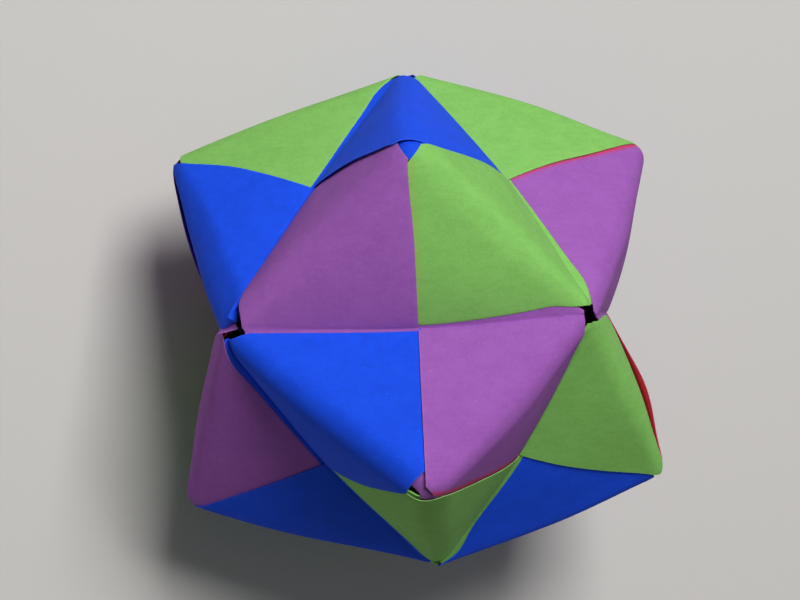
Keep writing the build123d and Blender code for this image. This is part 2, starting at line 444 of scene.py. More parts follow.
@dataclass(frozen=True)
class OuterSheet:
    """A half's flap, bend and tab, with the tab's hem and the paper that crosses the valley.

    The half is the one that the flap and the tab belong to, and the mate is the unit's other
    half. The flap runs on over the valley, under the tab that lies on the mate's face.
    """

    half: FoldedHalf
    mate: FoldedHalf
    # The grid, with narrow rows beside the free edge and columns that crowd to the valley
    edge_rows: int = 3
    edge_width: float = 1.2
    rows: int = 46
    columns: int = 88
    crowding: float = 1.15
    # The outline: the tab's blunt tip, and over what lengths each gap comes in
    tip_cut: float = 3.5
    flap_width: float = 7.0
    edge_back_length: float = 14.0
    strip_share: float = 0.8
    corner_share: float = 0.2
    bend_fade: float = 5.0
    slack_fade: float = 8.0
    hidden_cut: float = 1.6
    hidden_fade: float = 4.0
    # The paper over the valley: its columns, its taper to the corner and how it sinks
    valley_steps: tuple[float, ...] = (0.1, 0.22, 0.4, 0.7, 1.1, 1.7, 2.6)
    valley_taper: float = 4.5
    groove_width: float = 0.3
    fold_width: float = 0.6
    sink: float = 0.12
    sink_start: float = 0.8
    sink_fade: float = 2.0
    # The hem
    hem_turns: int = 6
    hem_fade: float = 2.5
    # How pale the edges are, wear and a painted highlight, and where painted bounce light tints a slit
    free_edge_pale: float = 0.2
    cut_edge_pale: float = 0.8
    hem_pale: float = 0.5
    pale_width: float = 0.3
    slit_width: float = 0.42
    slit_fade: float = 2.0

    def row_places(self) -> np.ndarray:
        """How far each row is from the flap's free edge, with narrow rows beside it."""
        fine = np.linspace(0, self.edge_width, self.edge_rows + 1)[:-1]
        return np.concatenate([fine, np.linspace(self.edge_width, self.half.paper.middle, self.rows)])

    def flat_places(self) -> tuple[np.ndarray, np.ndarray]:
        """Where the points of flap, bend and tab lie on the flat paper.

        Returns:
            The distances from the free edge and from the seam, a row for each row of points.
        """
        bend, middle = self.half.bend, self.half.paper.middle
        row_places = self.row_places()
        shares = 1 - (1 - np.linspace(0, 1, self.columns)) ** self.crowding
        first = np.maximum(bend.apex_gap * ROOT_TWO - row_places, self.tip_cut - middle)[:, None]
        b = first + shares * (middle - first)
        a = np.repeat(row_places[:, None], self.columns, axis=1)
        near_edge = np.clip(1 - a / self.flap_width, 0, 1)
        return a + bend.edge_back * near_edge * (1 - smooth(b / self.edge_back_length)), b

    def shortening(self, a: np.ndarray, b: np.ndarray) -> np.ndarray:
        """How far the tab's folded edge and the open corner are drawn back.

        Args:
            a: the distance from the flap's free edge.
            b: the distance from the seam of the other face.

        Returns:
            What comes off the first distance, at each place.
        """
        paper, bend = self.half.paper, self.half.bend
        past_ridge = (a - b) / ROOT_TWO
        on_tab = smooth(past_ridge / self.bend_fade)
        end = np.clip(b / paper.middle, 0, 1)
        widening = (bend.strip_corner - bend.strip_middle) * smooth(end / self.strip_share)
        corner = bend.corner_gap * smooth((end - bend.corner_start) / self.corner_share)
        short = (bend.strip_middle + widening) * on_tab + corner * (1 - on_tab)
        short += self.hidden_cut * smooth(-b / self.hidden_fade)
        slack = paper.tab_slack / ROOT_TWO * smooth(past_ridge / self.slack_fade)
        return (short - slack) * smooth(a / paper.middle)

    def lift(self, a: np.ndarray, b: np.ndarray) -> np.ndarray:
        """How far the flap stands off the face, most at its free edge.

        Args:
            a: the distance from the flap's free edge.
            b: the distance from the seam of the other face.

        Returns:
            The height at each place.
        """
        bend = self.half.bend
        along_edge = np.sin(math.pi * np.clip(b / self.half.paper.middle, 0, 1))
        near_edge = np.clip(1 - a / self.flap_width, 0, 1)
        return bend.flap_lift * near_edge**2 * along_edge**bend.lift_shape

    def over_valley(self, last_places: np.ndarray) -> tuple[np.ndarray, np.ndarray]:
        """Lays the paper that runs on over the valley, under the tab on the mate's face.

        Args:
            last_places: how far each row is from the free edge where it comes to the valley.

        Returns:
            The points and the inward directions, both in the ball's frame.
        """
        paper, bend = self.half.paper, self.half.bend
        steps = np.array(self.valley_steps)
        from_corner = paper.middle - last_places[:, None] + bend.valley_end
        reach = np.minimum(steps, from_corner * steps / self.valley_taper)
        depth = paper.leaf_fold_depth * smooth(steps / self.fold_width)
        depth += self.sink * smooth((steps - self.sink_start) / self.sink_fade)
        depth += bend.crease * hump(steps / self.groove_width)
        a = -np.repeat(last_places[:, None], len(steps), axis=1)
        return self.mate.lay(a, paper.middle - reach, depth, paper.tab_leaf_depth)

    def hem(self, points: np.ndarray, inward: np.ndarray, past_ridge: np.ndarray) -> tuple[list, list]:
        """Folds the tab's long edge back under itself.

        Args:
            points: the grid, whose last row is that edge.
            inward: the inward directions there.
            past_ridge: how far past the ridge each point of the last row lies.

        Returns:
            The rows of points of the hem, and their inward directions.
        """
        edge, edge_in = points[-1], inward[-1]
        outward = edge - points[-2]
        outward /= np.maximum(np.linalg.norm(outward, axis=-1, keepdims=True), TINY)
        on_tab = smooth(past_ridge / self.hem_fade)[:, None]
        size = self.half.paper.hem_radius * on_tab
        rows, directions = [], []
        for turn in np.linspace(0, math.pi, self.hem_turns + 1)[1:]:
            rows.append(edge + outward * math.sin(turn) * size + edge_in * (1 - math.cos(turn)) * size)
            turned_in = edge_in * math.cos(turn) - outward * math.sin(turn)
            directions.append(turned_in * on_tab + edge_in * (1 - on_tab))
        return rows, directions

    def sheet(self) -> Sheet:
        """Builds the sheet: flap, bend and tab, then the paper over the valley and the hem.

        Returns:
            The sheet, with its rows from the flap's free edge to the hem.
        """
        half, paper, bend = self.half, self.half.paper, self.half.bend
        a, b = self.flat_places()
        drawn = a - self.shortening(a, b)
        groove = bend.crease * hump((paper.middle - b) / self.groove_width)
        face_depth = paper.flap_depth - self.lift(a, b) + groove
        face = half.lay(drawn, b, face_depth, paper.tab_depth + groove, bend.tip_curl)
        valley = self.over_valley(drawn[:, -1])
        points, inward = (np.concatenate(parts, axis=1) for parts in zip(face, valley))
        past_ridge = np.concatenate([(a[-1] - b[-1]) / ROOT_TWO, np.full(len(self.valley_steps), -1.0)])
        hem_points, hem_inward = self.hem(points, inward, past_ridge)
        points = np.concatenate([points, hem_points])
        inward = np.concatenate([inward, hem_inward])
        return Sheet(points, inward, paper.thickness, *self.marks(points.shape[:2], a, b))

    def marks(self, shape: tuple[int, int], a: np.ndarray, b: np.ndarray) -> tuple[np.ndarray, ...]:
        """Works out where the paper is pale or tinted.

        Args:
            shape: the rows and columns of the whole sheet.
            a: the distance from the flap's free edge, where the sheet isn't hem or valley.
            b: the distance from the seam of the other face there.

        Returns:
            How pale the edges are, with wear and a painted highlight, and how far painted bounce light tints
            the outer side and the inner side.
        """
        half, bend = self.half, self.half.bend
        edge, slit, lining = (np.zeros(shape) for _ in range(3))
        flap = slice(0, len(a)), slice(0, self.columns)
        # Paler edges: partly wear of the fibres, partly a painted highlight on the rims
        beside_edge = np.clip(1 - self.row_places() / self.pale_width, 0, 1)
        edge[flap] = self.free_edge_pale * beside_edge[:, None]
        edge[: len(a), 0] = self.cut_edge_pale
        edge[len(a):] = self.hem_pale
        # Painted bounce light: the host's paper tints this one in the narrow slit beside the seam, and the
        # guest's paper tints the flap's inner side
        in_slit = hump((b - bend.slit_place) / self.slit_width) * smooth((a - b) / self.slit_fade)
        slit[flap] = in_slit * tint(half.colour, half.host.colour)
        lining[flap] = (1 - smooth(a / self.flap_width)) * (a < b) * tint(half.colour, half.guest.colour)
        return edge, slit, lining


@dataclass(frozen=True)
class LeafSheet:
    """The pocket's leaf of a half: its face under the guest's tab, and the bend over the ridge.

    It ends short of the valley's other corner by the far cut, of its own open corner by the
    near cut, and of the valley and the apex by theirs. The cut at the apex fades out away from
    there, and the inner gap at its open corner comes in over the corner reach. The leaf is
    folded double, so it is a little thicker than one paper.
    """

    half: FoldedHalf
    mate: FoldedHalf
    divisions: int = 44
    far_cut: float = 0.4
    near_cut: float = 1.2
    valley_cut: float = 1.0
    apex_cut: float = 1.5
    apex_from: float = 4.0
    apex_fade: float = 7.0
    corner_reach: float = 9.0
    corner_fade: float = 8.0
    fold_thickness: float = 1.6
    edge_pale: float = 0.6

    def sheet(self) -> Sheet:
        """Builds the leaf.

        Returns:
            The sheet, with its rows from the valley's other corner to its own open corner.
        """
        paper, bend = self.half.paper, self.half.bend
        far_end = self.mate.bend.inner_gap + self.far_cut - paper.middle
        row_places = np.linspace(far_end, paper.middle - self.near_cut, self.divisions)
        shares = np.linspace(0, 1, self.divisions)
        near_apex = 1 - smooth((np.abs(row_places) - self.apex_from) / self.apex_fade)
        apex_edge = bend.apex_gap + self.apex_cut - bend.leaf_reach
        first = (apex_edge * ROOT_TWO * near_apex - row_places)[:, None]
        last = paper.middle - self.valley_cut
        b = np.minimum(first + shares * (last - first), last)
        a = np.repeat(row_places[:, None], self.divisions, axis=1)
        to_corner = 2 * paper.middle - a - b
        back_off = bend.inner_gap * smooth((self.corner_reach - to_corner) / self.corner_fade)
        points, inward = self.half.lay(a - back_off, b - back_off, paper.leaf_depth, paper.tab_leaf_depth)
        edge, slit, lining = (np.zeros_like(a) for _ in range(3))
        # The leaf's folded edge is paler, partly wear and partly a painted highlight
        edge[:, 0] = self.edge_pale
        return Sheet(points, inward, paper.thickness * self.fold_thickness, edge, slit, lining)


@dataclass(frozen=True)
class BackSheet:
    """The back of the whole unit, through the valley from one tab to the other.

    The cuts are how much sooner it ends than the leaves at the corners, and than the outer
    sheets at the apexes. The valley depth is how deep it lies where its two sides meet, as a
    share of the depths of both.
    """

    first: FoldedHalf
    second: FoldedHalf
    rows: int = 34
    columns: int = 30
    end_cut: float = 0.6
    apex_cut: float = 2.6
    apex_from: float = 5.0
    apex_fade: float = 7.0
    valley_depth: float = 0.75

    def side(self, half: FoldedHalf, row_places: np.ndarray) -> tuple[np.ndarray, np.ndarray]:
        """Lays the back of one half, from beyond the apex to the valley.

        Args:
            half: the half.
            row_places: how far each row is from that half's free edge.

        Returns:
            The points and the inward directions, both in the ball's frame.
        """
        paper = half.paper
        near_apex = 1 - smooth((np.abs(row_places) - self.apex_from) / self.apex_fade)
        trim = (half.bend.apex_gap + self.apex_cut) * ROOT_TWO * near_apex
        first = (trim - row_places)[:, None]
        b = first + np.linspace(0, 1, self.columns) * (paper.middle - first)
        a = np.repeat(row_places[:, None], self.columns, axis=1)
        return half.lay(a, b, paper.back_depth, paper.tab_back_depth)

    def sheet(self) -> Sheet:
        """Builds the back, a little rounded where its two sides meet in the valley.

        Returns:
            The sheet, with its columns from one apex to the other.
        """
        paper = self.first.paper
        low, high = (paper.middle - half.bend.inner_gap - self.end_cut for half in (self.second, self.first))
        row_places = np.linspace(-low, high, self.rows)
        upper, upper_in = self.side(self.first, row_places)
        lower, lower_in = self.side(self.second, -row_places)
        valley = upper[:, -1] - upper_in[:, -1] * paper.back_depth
        both_in = upper_in[:, -1] + lower_in[:, -1]
        joined = valley + both_in * paper.back_depth * self.valley_depth
        valley_in = both_in / np.linalg.norm(both_in, axis=-1, keepdims=True)
        points = np.concatenate([upper[:, :-1], joined[:, None], lower[:, -2::-1]], axis=1)
        inward = np.concatenate([upper_in[:, :-1], valley_in[:, None], lower_in[:, -2::-1]], axis=1)
        plain = np.zeros(points.shape[:2])
        return Sheet(points, inward, paper.thickness, plain, plain, plain)


@dataclass(frozen=True)
class FoldedUnit:
    """One sheet of paper, folded: two outer sheets, two pocket leaves and a back.

    The name is that of the CAD node that the unit stands for.
    """

    name: str
    colour: Colour
    first: FoldedHalf
    second: FoldedHalf

    def sheets(self) -> list[Sheet]:
        """Folds the unit.

        Returns:
            All its layers.
        """
        layers = []
        for half, mate in ((self.first, self.second), (self.second, self.first)):
            layers += [OuterSheet(half, mate).sheet(), LeafSheet(half, mate).sheet()]
        layers.append(BackSheet(self.first, self.second).sheet())
        return layers


def put_in_scene(name: str, data: bpy.types.ID) -> bpy.types.Object:
    """Makes an object of the data in the scene.

    Args:
        name: the object's name.
        data: its mesh, lamp or camera.

    Returns:
        The object.
    """
    thing = bpy.data.objects.new(name, data)
    bpy.context.scene.collection.objects.link(thing)
    return thing


class MeshMaker:
    """Gathers sheets into one mesh of closed thin shells."""

    SHARP_ANGLE = 50

    def __init__(self) -> None:
        """Starts with nothing."""
        self.points: list[np.ndarray] = []
        self.faces: list[np.ndarray] = []
        self.marks: dict[str, list[np.ndarray]] = {"edge": [], "slit": [], "lit": []}
        self.count = 0

    def add(self, sheet: Sheet) -> None:
        """Adds a sheet as a closed shell: its outer side, its inner side and its cut edges.

        Args:
            sheet: the sheet.
        """
        rows, columns = sheet.points.shape[:2]
        size = rows * columns
        outer = sheet.points.reshape(-1, 3)
        inner = (sheet.points + sheet.inward * sheet.thickness).reshape(-1, 3)
        index = np.arange(size).reshape(rows, columns) + self.count
        front = self._quads(index)
        back = self._quads(index + size)[:, ::-1]
        ring = np.concatenate([index[0], index[1:, -1], index[-1, -2::-1], index[-2:0:-1, 0]])
        following = np.roll(ring, -1)
        rim = np.stack([ring, following, following + size, ring + size], axis=1)
        self.points += [outer, inner]
        self.faces += [front, back, rim[:, ::-1]]
        edge, slit, lining = (values.ravel() for values in (sheet.edge, sheet.slit, sheet.lining))
        self.marks["edge"] += [edge, edge]
        # The inner side takes the lining's painted bounce light, and also shines with it as a painted glow
        self.marks["slit"] += [slit, lining]
        self.marks["lit"] += [np.zeros(size), lining]
        self.count += 2 * size

    @staticmethod
    def _quads(index: np.ndarray) -> np.ndarray:
        """The four corners of each cell of a grid of point numbers."""
        corners = (index[:-1, :-1], index[:-1, 1:], index[1:, 1:], index[1:, :-1])
        return np.stack(corners, axis=-1).reshape(-1, 4)

    def build(self, name: str, move: Callable[[np.ndarray], np.ndarray]) -> bpy.types.Object:
        """Makes the object.

        Args:
            name: the piece's name.
            move: turns points of the ball's frame into the row's frame, in metres.

        Returns:
            The new object, in the scene.
        """
        mesh = bpy.data.meshes.new(name)
        points = move(np.concatenate(self.points))
        faces = np.concatenate(self.faces)
        mesh.vertices.add(len(points))
        mesh.vertices.foreach_set("co", points.astype(np.float32).ravel())
        mesh.loops.add(faces.size)
        mesh.loops.foreach_set("vertex_index", faces.astype(np.int32).ravel())
        mesh.polygons.add(len(faces))
        mesh.polygons.foreach_set("loop_start", np.arange(0, faces.size, 4, dtype=np.int32))
        mesh.polygons.foreach_set("use_smooth", np.ones(len(faces), dtype=bool))
        mesh.update(calc_edges=True)
        mesh.validate()
        for label, values in self.marks.items():
            layer = mesh.attributes.new(label, "FLOAT", "POINT")
            layer.data.foreach_set("value", np.concatenate(values).astype(np.float32))
        mesh.set_sharp_from_angle(angle=math.radians(self.SHARP_ANGLE))
        return put_in_scene(name, mesh)


AXES = {"x": np.array([1.0, 0, 0]), "y": np.array([0, 1.0, 0]), "z": np.array([0, 0, 1.0])}
COLOUR_AXES = {Colour.MAUVE: "xy", Colour.BLUE: "zx", Colour.GREEN: "yz"}
UNIT_NAMES = {
    Colour.MAUVE: {
        (1, 1): "mauve_top",
        (-1, 1): "mauve_right",
        (-1, -1): "mauve_bottom",
        (1, -1): "mauve_left",
    },
    Colour.BLUE: {
        (1, 1): "blue_far_left",
        (1, -1): "blue_far_right",
        (-1, 1): "blue_near_left",
        (-1, -1): "blue_near_right",
    },
    Colour.GREEN: {
        (1, 1): "green_far_high",
        (-1, 1): "green_far_low",
        (1, -1): "green_near_high",
        (-1, -1): "green_near_low",
    },
}
BENDS = {
    ("mauve_top", Half.FIRST): Bend(
        radius_apex=4.6, radius_middle=6.2, radius_corner=4.2, streaks=0.4, bulge=1.0,
        strip_corner=0.3, apex_gap=1.5, corner_gap=2.4, corner_start=0.64, crease=0.04,
    ),
    ("mauve_top", Half.SECOND): Bend(
        radius_apex=3.6, radius_middle=4.2, radius_corner=3.0, flap_lift=0.12, strip_corner=0.3,
        apex_gap=0.8, corner_gap=0.5, leaf_reach=3.5, crease=0.25,
    ),
    ("blue_far_left", Half.FIRST): Bend(
        radius_apex=4.6, radius_middle=4.2, radius_corner=3.6, flap_lift=0.35,
        strip_corner=0.3, apex_gap=1.9, corner_gap=0.8, tip_curl=0.6, leaf_reach=5.5,
    ),
    ("blue_far_left", Half.SECOND): Bend(
        radius_apex=2.0, radius_middle=5.4, radius_corner=7.2, streaks=0.75,
        creases=(-0.85, -0.72, 0.35, 0.7), crease_width=0.08, flap_lift=0.15,
        apex_gap=0.2, corner_gap=1.2, tip_curl=0.5, edge_back=1.1, valley_end=-2.2,
    ),
    ("green_far_low", Half.SECOND): Bend(
        radius_middle=3.4, strip_middle=0.7, strip_corner=1.3, apex_gap=0.6, corner_gap=0.4,
        leaf_reach=1.8,
    ),
    ("green_far_high", Half.FIRST): Bend(
        radius_apex=5.2, radius_middle=4.2, radius_corner=2.8, streaks=0.5,
        strip_middle=0.5, strip_corner=1.25, apex_gap=1.3, corner_gap=0.4, crease=0.3,
    ),
    ("green_far_high", Half.SECOND): Bend(radius_middle=3.0, flap_lift=0.14, apex_gap=0.2),
    ("mauve_right", Half.SECOND): Bend(
        radius_apex=3.0, radius_middle=4.2, streaks=0.4, strip_middle=0.55, strip_corner=1.1,
        apex_gap=0.3, corner_gap=-0.5, slit_place=-0.75,
    ),
    ("mauve_right", Half.FIRST): Bend(
        radius_corner=2.4, flap_lift=0.9, lift_shape=2.5, corner_gap=-1.2, inner_gap=0.0,
    ),
    ("mauve_left", Half.SECOND): Bend(
        radius_corner=2.4, flap_lift=1.1, lift_shape=1.2, corner_gap=-1.2, inner_gap=0.0,
    ),
    ("mauve_left", Half.FIRST): Bend(
        radius_middle=4.4, radius_corner=3.0, strip_middle=0.9, strip_corner=1.2, apex_gap=0.3,
        corner_gap=-1.0, inner_gap=1.0,
    ),
    ("blue_near_left", Half.SECOND): Bend(
        radius_apex=4.6, radius_middle=5.0, radius_corner=3.6, streaks=0.15, bulge=0.6,
        strip_middle=-0.1, strip_corner=-0.5, apex_gap=2.2, corner_gap=0.4, tip_curl=1.0,
        crease=0.6, edge_back=1.0,
    ),
    ("blue_near_left", Half.FIRST): Bend(radius_middle=3.4, flap_lift=0.12, corner_gap=0.5),
    ("blue_near_right", Half.FIRST): Bend(
        radius_middle=3.2, radius_corner=2.8, strip_middle=0.9, strip_corner=0.5, apex_gap=0.9,
        corner_gap=-1.1,
    ),
    ("green_near_high", Half.FIRST): Bend(
        radius_apex=2.8, radius_middle=3.8, flap_lift=0.12, apex_gap=0.2, corner_gap=0.4,
    ),
    ("green_near_high", Half.SECOND): Bend(
        radius_apex=5.0, radius_middle=4.6, radius_corner=4.2, flap_lift=0.12, strip_corner=0.3,
        apex_gap=2.0, corner_gap=-0.2, leaf_reach=2.2, crease=0.3,
    ),
    ("blue_far_right", Half.FIRST): Bend(flap_lift=0.2, corner_gap=0.2),
}


@dataclass(frozen=True)
class Nudge:
    """How far one tip of the ball sits from its even place, in millimetres.

    The tip is named by its signs along the ball's axes: three for an apex, two for the middle
    of a valley, one for an open corner. The move is along the image's right, the image's up
    and toward the camera.
    """

    tip: tuple[int, int, int]
    move: Triple


NUDGES = (
    Nudge((0, 0, 1), (0.0, -1.3, 0.0)),
    Nudge((0, 0, -1), (1.1, 2.1, 0.0)),
    Nudge((0, 1, 0), (-2.2, 0.1, -0.6)),
    Nudge((1, 0, 0), (0.0, 0.0, -0.6)),
    Nudge((1, 1, 1), (0.5, -0.6, -0.6)),
    Nudge((1, 1, -1), (0.6, 1.5, -0.5)),
    Nudge((-1, 1, 1), (-1.9, -1.1, 0.0)),
    Nudge((-1, 1, -1), (-1.0, 1.2, 0.0)),
    Nudge((1, -1, 1), (0.9, 0.3, 0.0)),
    Nudge((1, -1, -1), (0.9, -0.3, 0.0)),
    Nudge((1, 1, 0), (0.5, -0.8, 0.0)),
)


class HandShape:
    """The small unevenness of a ball that was put together by hand.

    The tip sizes are how far out a tip with so many signs lies along each of its axes, as a
    share of an apex's reach.
    """

    REACH = 21.0
    DRAWN_IN = 0.9
    TIP_SIZES = {3: 1.0, 2: 0.75, 1: 1.5}

    def __init__(self, paper: Paper, view: tuple[np.ndarray, np.ndarray, np.ndarray]) -> None:
        """Works out how strongly each tip pulls the paper round it.

        Args:
            paper: the sizes of the sheets.
            view: the image's right, the image's down and the way the camera looks.
        """
        moved = {nudge.tip: nudge.move for nudge in NUDGES}
        right, down, ahead = view
        places, shifts = [], []
        for signs in product((-1, 0, 1), repeat=3):
            tip = np.array(signs, dtype=float)
            count = int(np.abs(tip).sum())
            if count == 0:
                continue
            places.append(tip * self.TIP_SIZES[count] * paper.apex_reach)
            if signs in moved:
                across, up, toward = moved[signs]
                shifts.append(right * across - down * up - ahead * toward)
            elif count == 2:
                shifts.append(np.zeros(3))
            else:
                shifts.append(-tip / np.linalg.norm(tip) * self.DRAWN_IN)
        self.places = np.array(places)
        self.weights = np.linalg.solve(self._pull(self.places), np.array(shifts))

    def _pull(self, points: np.ndarray) -> np.ndarray:
        """The strength of each tip's pull at each point."""
        gaps = np.linalg.norm(points[:, None] - self.places[None], axis=-1)
        return hump(gaps / self.REACH)

    def __call__(self, points: np.ndarray) -> np.ndarray:
        """The points, moved, in the ball's frame."""
        return points + self._pull(points) @ self.weights


class RowFrame:
    """How the ball lies: on two apexes and one open corner."""

    SOFT_ZONE = 0.3 * MM

    def __init__(self, low: np.ndarray, high: np.ndarray) -> None:
        """Keeps the CAD model's box and works out the turn into the row's frame.

        Args:
            low: the box's lowest corner, in metres.
            high: its highest corner.
        """
        root = math.sqrt(5)
        self.centre = (low + high) / 2
        self.half_box = (high - low) / 2
        self.turn = np.array([[-2 / root, 0, 1 / root], [1 / root, 0, 2 / root], [0, 1, 0]])

    def __call__(self, points: np.ndarray) -> np.ndarray:
        """Turns points of the ball's frame, in millimetres, into the row's, in metres."""
        return self.held_in(points @ self.turn * MM) + self.centre

    def held_in(self, offsets: np.ndarray) -> np.ndarray:
        """Presses what would stand proud of the CAD model's box softly back into it.

        Args:
            offsets: places as seen from the box's centre, in metres.

        Returns:
            The same places, or just inside the box.
        """
        start = self.half_box - self.SOFT_ZONE
        beyond = np.clip(np.abs(offsets) - start, 0, None)
        pressed = start + self.SOFT_ZONE * (1 - np.exp(-beyond / self.SOFT_ZONE))
        return np.where(beyond > 0, np.sign(offsets) * pressed, offsets)

    def direction(self, vector: np.ndarray) -> np.ndarray:
        """Turns a direction of the ball's frame into the row's."""
        return vector @ self.turn


class Socket:
    """A shader value that can be used in an expression."""

    def __init__(self, tree: "ShaderTree", link: bpy.types.NodeSocket) -> None:
        """Wraps an output socket of a tree."""
        self.tree = tree
        self.link = link

    def _math(self, operation: str, *values: "Socket | float") -> "Socket":
        """Adds a Math node for an operation on the values."""
        inputs = dict(enumerate(values))
        return self.tree.node("ShaderNodeMath", {"operation": operation}, inputs)

    def __add__(self, other: "Socket | float") -> "Socket":
        """The sum."""
        return self._math("ADD", self, other)

    __radd__ = __add__

    def __sub__(self, other: "Socket | float") -> "Socket":
        """The difference."""
        return self._math("SUBTRACT", self, other)

    def __rsub__(self, other: float) -> "Socket":
        """The difference, from a number."""
        return self._math("SUBTRACT", other, self)

    def __mul__(self, other: "Socket | float") -> "Socket":
        """The product."""
        return self._math("MULTIPLY", self, other)

    __rmul__ = __mul__

    def above(self, low: float, high: float) -> "Socket":
        """Adds a soft step.

        Args:
            low: the value at which the step is still 0.
            high: the value at which it is 1.

        Returns:
            The step's value.
        """
        settings = {"interpolation_type": "SMOOTHSTEP"}
        inputs = {"Value": self, "From Min": low, "From Max": high}
        return self.tree.node("ShaderNodeMapRange", settings, inputs)


class ShaderTree:
    """A material's nodes.

    The numbers are those of the sockets of a Mix node for colours: its factor, its two
    colours, and its result.
    """

    MIX_FACTOR, MIX_FIRST, MIX_SECOND, MIX_COLOUR = 0, 6, 7, 2

    def __init__(self, name: str) -> None:
        """Starts an empty material.

        Args:
            name: the material's name.
        """
        self.material = bpy.data.materials.new(name)
        self.material.use_nodes = True
        self.nodes = self.material.node_tree.nodes
        self.links = self.material.node_tree.links
        self.nodes.clear()

    def node(self, kind: str, settings: dict, inputs: dict, output: int | str = 0) -> Socket:
        """Adds a node.

        Args:
            kind: the node's type.
            settings: properties that are set first.
            inputs: values or sockets, by the input's name or number.
            output: which output is returned.

        Returns:
            The output, wrapped.
        """
        node = self.nodes.new(kind)
        for key, value in settings.items():
            setattr(node, key, value)
        for key, value in inputs.items():
            if isinstance(value, Socket):
                self.links.new(value.link, node.inputs[key])
            else:
                node.inputs[key].default_value = value
        return Socket(self, node.outputs[output] if node.outputs else None)

    def finish(self, shader: Socket) -> bpy.types.Material:
        """Sends a shader to the material's output and returns the material."""
        self.node("ShaderNodeOutputMaterial", {}, {"Surface": shader})
        return self.material

    def noise(self, where: Socket, scale: float, detail: float, rough: float = 0.5) -> Socket:
        """A noise of about 0 to 1, with so many waves to the metre."""
        inputs = {"Vector": where, "Scale": scale, "Detail": detail, "Roughness": rough}
        return self.node("ShaderNodeTexNoise", {"noise_dimensions": "3D"}, inputs)

    def attribute(self, name: str) -> Socket:
        """A value that is stored at the mesh's points."""
        settings = {"attribute_type": "GEOMETRY", "attribute_name": name}
        return self.node("ShaderNodeAttribute", settings, {}, "Fac")

    def mix(self, factor: Socket, first: Socket | tuple, second: Socket | tuple) -> Socket:
        """A mix of two colours."""
        inputs = {self.MIX_FACTOR: factor, self.MIX_FIRST: first, self.MIX_SECOND: second}
        return self.node("ShaderNodeMix", {"data_type": "RGBA"}, inputs, self.MIX_COLOUR)


@dataclass(frozen=True)
class Tone:
    """The colours of one paper, in linear light: its body, its pale colour for specks, edge wear
    and a painted edge highlight, its deep places, and the painted bounce light of its slits.
    """

    body: Triple
    pale_wear_and_highlight: Triple
    deep: Triple
    slit: Triple


# Each slit colour is painted bounce light from a neighbouring paper, and the pale colour also serves as a
# painted edge highlight
TONES = {
    Colour.MAUVE: Tone(
        body=(0.375, 0.122, 0.50), pale_wear_and_highlight=(0.60, 0.33, 0.62),
        deep=(0.335, 0.104, 0.455), slit=(0.72, 0.035, 0.045),
    ),
    Colour.BLUE: Tone(
        body=(0.010, 0.088, 0.91), pale_wear_and_highlight=(0.06, 0.22, 0.95),
        deep=(0.008, 0.075, 0.81), slit=(0.01, 0.06, 0.6),
    ),
    Colour.GREEN: Tone(
        body=(0.255, 0.590, 0.136), pale_wear_and_highlight=(0.37, 0.66, 0.23),
        deep=(0.220, 0.53, 0.114), slit=(0.36, 0.42, 0.07),
    ),
}


